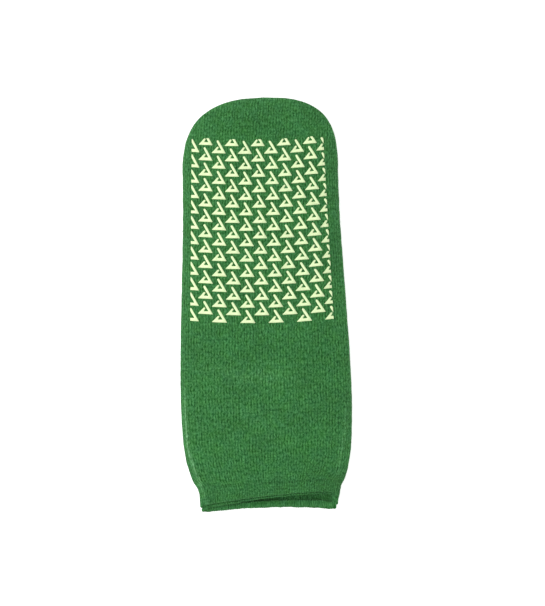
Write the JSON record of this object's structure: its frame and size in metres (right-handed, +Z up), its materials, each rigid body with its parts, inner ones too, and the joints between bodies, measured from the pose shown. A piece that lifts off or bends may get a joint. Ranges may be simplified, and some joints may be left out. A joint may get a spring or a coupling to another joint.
{
  "type": "slipper sock",
  "caption": "Knitted tube slipper sock with no heel pocket, lying flat and empty, with raised grip marks on both faces, a linked toe seam and an elastic hem at its open cuff.",
  "frame": {"origin": "middle of the flat sock on the surface it lies on", "axes": "+Y from the cuff to the toe, +X to the right seen from above, +Z up off the surface"},
  "size_m": [0.11, 0.266, 0.0174],
  "materials": {
    "knit": "matt heathered green knit with a terry inside",
    "seam": "matt linked yarn, a little darker than the knit",
    "grip": "soft satin cured print, pale yellow green"
  },
  "bodies": {
    "root": {"knit_tube": "knit", "toe_seam": "seam", "grip_top_01": "grip", "grip_top_02": "grip", "grip_top_03": "grip", "grip_top_04": "grip", "grip_top_05": "grip", "grip_top_06": "grip", "grip_top_07": "grip", "grip_top_08": "grip", "grip_top_09": "grip", "grip_top_10": "grip", "grip_top_11": "grip", "grip_floor_01": "grip", "grip_floor_02": "grip", "grip_floor_03": "grip", "grip_floor_04": "grip", "grip_floor_05": "grip", "grip_floor_06": "grip", "grip_floor_07": "grip", "grip_floor_08": "grip", "grip_floor_09": "grip", "grip_floor_10": "grip", "grip_floor_11": "grip"}
  },
  "joints": []
}
